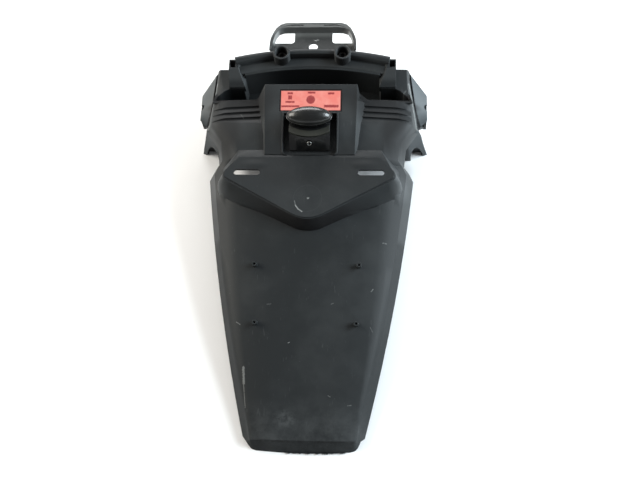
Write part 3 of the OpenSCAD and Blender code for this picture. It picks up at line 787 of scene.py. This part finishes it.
def round_bar(path: np.ndarray, radius: np.ndarray | float, sides: int = 14, closed: bool = False) -> np.ndarray:
    """Works out a round bar along a path.

    Each ring is a circle of its radius about its point of the path, in the plane square to the path there: the path's
    direction times straight up gives the circle's first axis, and that times the direction gives its second. The ends
    of an open bar are drawn in over a quarter turn, so that they are round.

    Args:
        path: array of points x 3, nowhere upright.
        radius: one radius, or one for each point.
        sides: points of each circle.
        closed: whether the path is a loop.

    Returns:
        Grid of points, one row a ring.
    """
    radius = np.broadcast_to(np.asarray(radius, float), (len(path),)).copy()
    way = np.roll(path, -1, axis=0) - np.roll(path, 1, axis=0) if closed else np.gradient(path, axis=0)
    way /= np.linalg.norm(way, axis=1, keepdims=True)
    if not closed:
        turn = np.radians(np.array([90.0, 65.0, 40.0, 18.0]))
        out, near = np.sin(turn)[:, None], np.cos(turn)
        path = np.vstack(
            [path[0] - way[0] * radius[0] * out, path, path[-1] + way[-1] * radius[-1] * out[::-1]]
        )
        radius = np.concatenate([radius[0] * near, radius, radius[-1] * near[::-1]])
        way = np.vstack([np.repeat(way[:1], 4, axis=0), way, np.repeat(way[-1:], 4, axis=0)])
    first = np.cross(way, [0.0, 0.0, 1.0])
    first /= np.linalg.norm(first, axis=1, keepdims=True)
    second = np.cross(first, way)
    angle = np.linspace(0.0, 2.0 * np.pi, sides, endpoint=False)[None, :, None]
    circle = np.cos(angle) * first[:, None, :] + np.sin(angle) * second[:, None, :]
    return path[:, None, :] + radius[:, None, None] * circle


def add_round_bar(
    name: str, path: np.ndarray, radius: np.ndarray | float, sides: int = 14, closed: bool = False
) -> bpy.types.Object:
    """Lays a round bar, its path and radius in millimetres."""
    return lay_grid(name, in_frame(round_bar(path, radius, sides, closed)), close_rows=closed, close_columns=True)


def thin_plate(
    corners: Sequence[tuple[float, float, float]],
    across: np.ndarray,
    low: np.ndarray,
    bulge: np.ndarray,
    thick: float,
    rows: int = 16,
) -> np.ndarray:
    """Works out a closed thin plate spanned by four corners.

    A point with the shares u across and v up is the mean of the corners weighted by u and v. Each column starts at its
    own share v, which cuts an arch or a bay into the lower edge. The front stands out along the plate's normal by the
    column's bulge, and the back lies behind it by the thickness, drawn in to nothing at both sides.

    Args:
        corners: lower left, lower right, upper left and upper right, in millimetres.
        across: share u of each column, from 0 to 1.
        low: share v at which each column starts.
        bulge: how far each column stands out.
        thick: the thickness.
        rows: rows of the front.

    Returns:
        Grid of points, the front's rows upwards and then the back's downwards.
    """
    low_left, low_right, top_left, top_right = (np.array(c) for c in corners)
    u = across[None, :, None]
    v = low[None, :, None] + (1.0 - low[None, :, None]) * np.linspace(0.0, 1.0, rows)[:, None, None]
    flat = (1 - v) * ((1 - u) * low_left + u * low_right) + v * ((1 - u) * top_left + u * top_right)
    normal = np.cross(low_right - low_left, top_left - low_left)
    normal /= np.linalg.norm(normal) * (1.0 if normal[2] > 0 else -1.0)
    front = flat + bulge[None, :, None] * normal
    wall = thick * np.clip(np.minimum(across, 1.0 - across) * 12.0, 0.0, 1.0)
    return np.concatenate([front, (front - wall[None, :, None] * normal)[::-1]])


def smooth_path(points: Sequence[tuple[float, float, float]], count: int) -> np.ndarray:
    """Smooth curve through points.

    Between two points it is the cubic that leaves and meets each of them along the chord of its two neighbours.

    Args:
        points: the points.
        count: number of points of the curve.

    Returns:
        Array of count x 3.
    """
    row = np.array(points, float)
    row = np.vstack([2 * row[0] - row[1], row, 2 * row[-1] - row[-2]])
    place = np.linspace(0.0, len(points) - 1.0, count)
    first = np.minimum(place.astype(int), len(points) - 2)
    f = (place - first)[:, None]
    a, b, c, d = (row[first + k] for k in range(4))
    return 0.5 * (2 * b + (c - a) * f + (2 * a - 5 * b + 4 * c - d) * f**2 + (3 * b - a - 3 * c + d) * f**3)


def loop(centre: tuple[float, float, float], half: tuple[float, float], count: int = 96) -> np.ndarray:
    """Level ellipse about a centre, from its half sizes: cosine along x and sine along the part."""
    angle = np.linspace(0.0, 2.0 * np.pi, count, endpoint=False)
    return np.array(centre) + np.stack([half[0] * np.cos(angle), half[1] * np.sin(angle), 0 * angle], axis=1)


# Sub-assemblies


@dataclass
class SubAssembly:
    """Some solids and the pieces laid over them."""

    smooth_angle: float = 32.0
    pieces: list[str] = field(default_factory=list)

    def dress(self, node: str, material: bpy.types.Material) -> None:
        """Gives one solid its finish, and smooth shading across its shallow edges.

        Args:
            node: the solid's name.
            material: its finish.
        """
        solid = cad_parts[node]
        solid.data.materials.clear()
        solid.data.materials.append(material)
        solid.data.polygons.foreach_set("use_smooth", np.ones(len(solid.data.polygons), bool))
        weld = solid.modifiers.new("weld", "WELD")
        weld.merge_threshold = WELD_DISTANCE
        split = solid.modifiers.new("edges", "EDGE_SPLIT")
        split.split_angle = math.radians(self.smooth_angle)
        LOG.info("dressed %s with %s", node, material.name)

    def add(self, piece: bpy.types.Object, material: bpy.types.Material, slot: str) -> None:
        """Gives a new piece its finish and its body, and keeps its name in the list of pieces.

        Args:
            piece: the piece.
            material: its finish.
            slot: not used.
        """
        piece.data.materials.append(material)
        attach(piece, "root")
        self.pieces.append(piece.name)
        LOG.info("added %s: %d faces", piece.name, len(piece.data.polygons))


@dataclass
class Moulding(SubAssembly):
    """The fender's moulding, its torn tail lip, the ramp of its platform, the rounded mouths of its bosses, the outer
    faces of its legs and the webs between its flanges and tabs, these two in paler copies of its finish as painted
    light.

    Corners are those of the right side: lower left, lower right, upper left and upper right, in millimetres. An arch
    is its middle and half width as shares across and its height as a share upwards, and a ridge is its share across and
    its height in millimetres.
    """

    tip_half: float = 66.5
    corner_back: float = 15.0
    torn: tuple[float, float] = (-21.0, 49.0)
    boss_x: float = 38.0
    boss_t: float = 474.0
    boss_top: float = 104.0
    boss_wall: tuple[float, float] = (7.6, 10.25)
    seed: int = 7
    leg_corners: tuple[tuple[float, float, float], ...] = (
        (147.0, 386.0, 0.0), (118.5, 376.5, 0.0), (133.3, 391.3, 56.0), (114.8, 377.2, 58.0)
    )
    leg_arch: tuple[float, float, float] = (0.47, 0.29, 0.44)
    leg_ridge: tuple[float, float] = (0.8, 1.8)
    web_corners: tuple[tuple[float, float, float], ...] = (
        (144.8, 409.8, 46.4), (144.8, 446.0, 46.8), (133.2, 399.0, 42.6), (122.6, 463.0, 71.4)
    )
    web_bay: tuple[float, float, float] = (0.5, 0.1, 0.22)
    web_ridge: tuple[float, float] = (0.5, 0.5)
    plate_thick: float = 1.4
    ramp_top: tuple[tuple[float, float, float], ...] = (
        (0.0, 260.5, 79.3), (6.0, 261.1, 79.3), (13.0, 263.0, 79.3), (20.0, 266.3, 79.3), (38.0, 276.2, 79.3),
        (52.0, 284.0, 79.3), (63.0, 290.0, 79.3), (74.0, 296.1, 79.3), (84.0, 301.6, 79.3), (92.0, 306.0, 79.3),
        (98.0, 309.4, 79.2), (102.0, 311.8, 79.1), (103.8, 314.0, 79.0), (104.4, 316.4, 78.8), (104.0, 319.0, 78.5),
        (102.9, 322.2, 78.0), (101.4, 326.0, 77.0),
    )
    ramp_foot: tuple[tuple[float, float, float], ...] = (
        (0.0, 252.2, 61.3), (6.0, 252.6, 61.3), (15.0, 254.8, 61.3), (24.0, 258.8, 61.3), (46.4, 268.8, 61.9),
        (62.0, 275.9, 62.3), (72.7, 280.1, 62.4), (84.0, 284.6, 62.4), (94.0, 289.0, 60.2), (101.0, 292.8, 57.8),
        (107.0, 296.5, 56.2), (111.0, 301.0, 55.5), (113.2, 306.5, 55.7), (113.0, 311.0, 56.8), (111.7, 315.0, 58.2),
        (108.0, 320.5, 61.0), (104.6, 325.5, 65.0),
    )
    ramp_bulge: tuple[float, float] = (0.6, 2.6)
    ramp_heart: tuple[float, float, float] = (0.0, 330.0, 60.0)
    ramp_draw: float = 0.02

    def torn_lip(self) -> bpy.types.Object:
        """Lays the ragged edge along the lip's foot.

        Its path is the lip's own plan, a share of the square and of the eighteenth power of x, and its radius is a
        seeded random row, so it bulges and thins as torn plastic does.

        Returns:
            The piece.
        """
        x = np.linspace(*self.torn, 110)
        u = x / self.tip_half
        plan = self.corner_back * (0.18 * u**2 + 0.82 * np.abs(u) ** 18)
        draw = np.random.default_rng(self.seed)
        ragged = draw.random(len(x)) ** 2 * (0.3 + 0.7 * np.abs(np.sin(x * 0.31)))
        radius = 0.2 + 0.8 * ragged
        path = np.stack([x, plan + 0.3 - 1.1 * ragged, radius + 0.1 + 0.8 * draw.random(len(x))], axis=1)
        return add_round_bar("torn_lip", path, radius, 8)

    def platform_ramp(self) -> bpy.types.Object:
        """Lays the ramp in front of the platform, with its round shoulders.

        Two smooth curves, the platform's edge and the foot on the panel, are mirrored to run from the left shoulder to
        the right one. A point is the mean of both, weighted by its share down the ramp, and stands out square to it by
        the sine of that share times a bulge that grows towards the shoulders. The back is the front drawn in by a
        fiftieth towards a point inside, except at both ends, so the piece is closed.

        Returns:
            The piece.
        """
        sides = np.array([-1.0, 1.0, 1.0])
        halves = (smooth_path(self.ramp_top, 81), smooth_path(self.ramp_foot, 81))
        top, foot = (np.vstack([half[:0:-1] * sides, half]) for half in halves)
        fall = foot - top
        level = np.hypot(fall[:, 0], fall[:, 1])[:, None]
        outward = np.hstack([fall[:, :2] / level * -fall[:, 2:], level])
        outward /= np.linalg.norm(outward, axis=1, keepdims=True)
        ends = np.abs(np.linspace(-1.0, 1.0, len(top)))
        stand = np.interp(ends, [0.0, 0.5, 0.8, 1.0], [self.ramp_bulge[0], *self.ramp_bulge, 0.0])
        v = np.linspace(0.0, 1.0, 18)[:, None, None]
        front = top + v * fall + np.sin(np.pi * v) * stand[:, None] * outward
        drawn = self.ramp_draw * np.clip((1.0 - ends) * 20.0, 0.0, 1.0)[:, None]
        back = front + (np.array(self.ramp_heart) - front) * drawn
        return lay_grid("platform_ramp", in_frame(np.concatenate([front, back[::-1]])), close_rows=True)

    def boss_mouth(self, side: Side) -> bpy.types.Object:
        """Lays the rounded mouth of one boss: a ring as thick as its wall, sunk into its top.

        Args:
            side: the boss's side.

        Returns:
            The piece.
        """
        low, high = self.boss_wall
        middle, bar = (low + high) / 2, (high - low) / 2
        path = loop((side.value * self.boss_x, self.boss_t, self.boss_top - 0.35 * bar), (middle, middle), 64)
        return add_round_bar(f"boss_mouth_{side.word}", path, bar, 14, True)

    def arched_plate(
        self,
        name: str,
        corners: Sequence[tuple[float, float, float]],
        arch: tuple[float, float, float],
        ridge: tuple[float, float],
        side: Side,
    ) -> bpy.types.Object:
        """Lays one plate with a half ellipse cut into its lower edge.

        Args:
            name: the piece's name, without its side.
            corners: its corners on the right side.
            arch: middle and half width of the ellipse as shares across, and its height as a share upwards.
            ridge: share across and height of the line along which the plate is creased.
            side: the plate's side.

        Returns:
            The piece.
        """
        middle, half, height = arch
        turn = np.linspace(0.0, np.pi, 33)
        inner = middle - half * np.cos(turn)
        across = np.concatenate([np.linspace(0.0, inner[0], 10)[:-1], inner, np.linspace(inner[-1], 1.0, 14)[1:]])
        low = height * np.sqrt(np.clip(1.0 - ((across - middle) / half) ** 2, 0.0, 1.0))
        bulge = np.interp(across, [0.0, ridge[0], 1.0], [0.0, ridge[1], 0.0])
        grid = thin_plate(corners, across, low, bulge, self.plate_thick) * np.array([side.value, 1.0, 1.0])
        return lay_grid(f"{name}_{side.word}", in_frame(grid), close_rows=True)

    def build(self) -> None:
        """Dresses the moulding and adds its pieces."""
        finish = WornMoulding().make()
        # paler copies of the finish for the legs and flange webs: painted light, as they face the side lights
        leg_finish = WornMoulding(name="lit_leg", lift=3.0).make()
        web_finish = WornMoulding(name="lit_flange", lift=4.6).make()
        for side in Side:
            leg = self.arched_plate("leg_face", self.leg_corners, self.leg_arch, self.leg_ridge, side)
            self.add(leg, leg_finish, "black_plastic")
            web = self.arched_plate("flange_web", self.web_corners, self.web_bay, self.web_ridge, side)
            self.add(web, web_finish, "black_plastic")
        self.dress("fender", finish)
        for piece in (self.torn_lip(), self.platform_ramp(), *(self.boss_mouth(side) for side in Side)):
            self.add(piece, finish, "black_plastic")


@dataclass
class Bracket(SubAssembly):
    """The tail bracket with its rolled rim, and its fasteners."""

    half: float = 55.0
    near_t: float = 485.0
    far_t: float = 525.0
    rim_z: float = 94.0
    bar: float = 1.0
    corner_power: float = 3.2

    def rolled_rim(self) -> bpy.types.Object:
        """Lays the rolled edge of the rim.

        The path runs up one side, round the far corners and down the other: a quarter of a superellipse of the
        corners' power for each, drawn in by the bar's radius.

        Returns:
            The piece.
        """
        angle = np.linspace(-0.5 * np.pi, 0.5 * np.pi, 90)
        power = 2.0 / self.corner_power
        across = np.sign(np.sin(angle)) * np.abs(np.sin(angle)) ** power * (self.half - self.bar)
        run = np.abs(np.cos(angle)) ** power * (self.far_t - self.near_t - self.bar)
        path = np.stack([across, self.near_t + run, np.full_like(angle, self.rim_z - 0.5 * self.bar)], axis=1)
        return add_round_bar("rolled_rim", path, self.bar)

    def build(self) -> None:
        """Dresses the bracket and its fasteners."""
        zinc = Metal(Plating.ZINC).make()
        coat = BracketCoat().make()
        self.dress("tail_bracket", coat)
        self.add(self.rolled_rim(), coat, "bracket_coat")
        self.dress("bracket_bolts", Metal(Plating.BLACK_OXIDE).make())
        for node in ("bracket_washers", "bracket_nuts", "lamp_washers", "lamp_nuts"):
            self.dress(node, zinc)


@dataclass
class PlateLamp(SubAssembly):
    """The number plate lamp: its body, collar, lens, hood and screw."""

    middle_t: float = 382.5
    hood_half: tuple[float, float] = (27.0, 12.0)
    hood_z: float = 106.0
    bead: float = 0.8
    screw: tuple[float, float, float] = (0.0, 355.8, 87.6)
    screw_tilt: float = 62.2
    ring: tuple[float, float] = (2.5, 0.5)

    def hood_bead(self) -> bpy.types.Object:
        """Lays the bead along the hood's rim, an ellipse just outside it.

        Returns:
            The piece.
        """
        rx, ry = self.hood_half
        path = loop((0.0, self.middle_t, self.hood_z + 0.2), (rx + 0.1, ry + 0.1), 128)
        return add_round_bar("hood_bead", path, self.bead, 12, True)

    def screw_ring(self) -> bpy.types.Object:
        """Lays the bright ring round the screw's socket: a level ring tilted into the lamp's front.

        Returns:
            The piece.
        """
        radius, bar = self.ring
        ring = round_bar(loop((0.0, 0.0, 0.0), (radius, radius), 40), bar, 10, True)
        turn = Matrix.Rotation(math.radians(self.screw_tilt), 3, "X")
        tilted = ring @ np.array(turn).T
        axis = np.array(turn @ Vector((0.0, 0.0, 1.0)))
        return lay_grid("screw_ring", in_frame(tilted + self.screw + axis * 0.8), True, True)

    def build(self) -> None:
        """Dresses the lamp and adds its pieces."""
        gloss = LampPlastic("lamp_black", (0.006, 0.0065, 0.007), (0.04, 0.04, 0.036), rough=0.3, coat=0.25).make()
        hood = LampPlastic("hood_shell", (0.007, 0.0075, 0.0075), (0.03, 0.031, 0.026), rough=0.25, coat=0.25).make()
        collar = LampPlastic("collar_olive", (0.02, 0.021, 0.017), (0.05, 0.05, 0.04), rough=0.4).make()
        rubber = LampPlastic("seal_rubber", (0.006, 0.006, 0.006), (0.02, 0.02, 0.02), rough=0.75).make()
        brown = LampPlastic("socket_brown", (0.12, 0.05, 0.03), (0.2, 0.12, 0.08), rough=0.5).make()
        self.dress("lamp_body", gloss)
        self.dress("lamp_hood", hood)
        self.dress("lamp_collar", collar)
        self.dress("lamp_gasket", rubber)
        self.dress("lamp_lens", ClearShell("lens_smoke", (0.05, 0.052, 0.055)).make())
        self.dress("lamp_screw", Metal(Plating.DARK_STEEL).make())
        self.dress("bulb_socket", brown)
        self.dress("lamp_bulb", ClearShell("bulb_glass", (0.95, 0.95, 0.9), rough=0.03).make())
        self.add(self.hood_bead(), hood, "hood_shell")
        self.add(self.screw_ring(), Metal(Plating.ZINC).make(), "zinc")


@dataclass
class Label(SubAssembly):
    """The reflecting label in its bed."""

    def build(self) -> None:
        """Dresses the label."""
        self.dress("label", LabelSheet().make())


# Studio


@dataclass(frozen=True)
class PhotoCamera:
    """The camera that took the photograph, fitted to the part."""

    azimuth: float = 9.489
    elevation: float = 68.0
    roll: float = -8.251
    distance: float = 1.078
    aim: tuple[float, float, float] = (0.0139, -0.0135, 0.040)
    lens: float = 50.0
    sensor: float = 36.0

    def make(self) -> None:
        """Builds the camera: it looks at its aim from its distance, and is then rolled."""
        a, e, roll = (math.radians(v) for v in (self.azimuth, self.elevation, self.roll))
        back = Vector((math.sin(a) * math.cos(e), -math.cos(a) * math.cos(e), math.sin(e)))
        right = Vector((math.cos(a), math.sin(a), 0.0))
        up = back.cross(right)
        across = right * math.cos(roll) + up * math.sin(roll)
        upward = up * math.cos(roll) - right * math.sin(roll)
        data = bpy.data.cameras.new("photo_camera")
        data.lens, data.sensor_width, data.sensor_fit = self.lens, self.sensor, "HORIZONTAL"
        camera = bpy.data.objects.new("photo_camera", data)
        turn = Matrix((across, upward, back)).transposed().to_4x4()
        camera.matrix_world = Matrix.Translation(Vector(self.aim) + back * self.distance) @ turn
        bpy.context.scene.collection.objects.link(camera)
        bpy.context.scene.camera = camera


@dataclass(frozen=True)
class SoftBox:
    """One soft studio light."""

    name: str
    place: tuple[float, float, float]
    size: tuple[float, float]
    power: float
    tint: Colour
    aim: tuple[float, float, float] = (0.0, 0.0, 0.04)

    def make(self) -> None:
        """Builds the light, facing its aim."""
        data = bpy.data.lights.new(self.name, "AREA")
        data.shape, data.size, data.size_y = "RECTANGLE", *self.size
        data.energy, data.color = self.power, self.tint
        light = bpy.data.objects.new(self.name, data)
        light.location = self.place
        light.rotation_euler = (Vector(self.place) - Vector(self.aim)).to_track_quat("Z", "Y").to_euler()
        bpy.context.scene.collection.objects.link(light)


@dataclass(frozen=True)
class Studio:
    """Pale floor, even sky and soft boxes at both sides and behind.

    ``slot_shades`` are the grey spots that the platform's slots show on the floor, each with its strength.
    """

    floor: Colour = (0.93, 0.93, 0.93)
    floor_half: float = 6.0
    shade: Colour = (0.12, 0.125, 0.13)
    slot_shades: tuple[tuple[Spot, float], ...] = (
        (Spot(88.0, 360.0, 48.0, 30.0), 0.72),
        (Spot(-70.0, 360.0, 30.0, 30.0), 0.85),
    )
    sky: float = 0.2
    boxes: tuple[SoftBox, ...] = (
        SoftBox("left_box", (-1.5, 0.4, 0.9), (1.2, 1.0), 32.0, (1.0, 0.96, 0.88)),
        SoftBox("right_box", (1.5, 0.3, 0.9), (1.2, 1.0), 62.0, (0.84, 0.94, 1.0)),
        SoftBox("back_box", (-0.3, 1.6, 0.7), (1.6, 0.6), 26.0, (1.0, 1.0, 1.0)),
    )

    def paper(self) -> bpy.types.Material:
        """Builds the floor's paper, with a grey shade where the slots show it.

        Returns:
            The material.
        """
        r = Recipe("floor_paper")
        shade = reduce(Signal.most, [r.blot(spot) * strength for spot, strength in self.slot_shades])
        return r.finish(r.mix(shade, self.floor, self.shade), 0.9, Specular_IOR_Level=0.1)

    def make(self) -> None:
        """Builds the floor, the sky and the lights."""
        side = self.floor_half
        corners = np.array([[[-side, -side, 0], [side, -side, 0]], [[-side, side, 0], [side, side, 0]]], float)
        floor = lay_grid("floor", corners)
        floor.data.materials.append(self.paper())
        world = bpy.data.worlds.new("studio")
        world.use_nodes = True
        background = world.node_tree.nodes["Background"]
        background.inputs["Color"].default_value = (1.0, 1.0, 1.0, 1.0)
        background.inputs["Strength"].default_value = self.sky
        bpy.context.scene.world = world
        for box in self.boxes:
            box.make()
        bpy.context.scene.view_settings.view_transform = "Standard"
        bpy.context.scene.view_settings.exposure = 0.0


def main() -> None:
    """Builds the camera and the studio, then each sub-assembly."""
    logging.basicConfig(level=logging.INFO, format="%(name)s: %(message)s")
    PhotoCamera().make()
    Studio().make()
    for sub in (Moulding(), Bracket(), PlateLamp(), Label()):
        sub.build()
        LOG.info("%s done, %d new pieces", type(sub).__name__, len(sub.pieces))


if __name__ == "__main__":
    main()
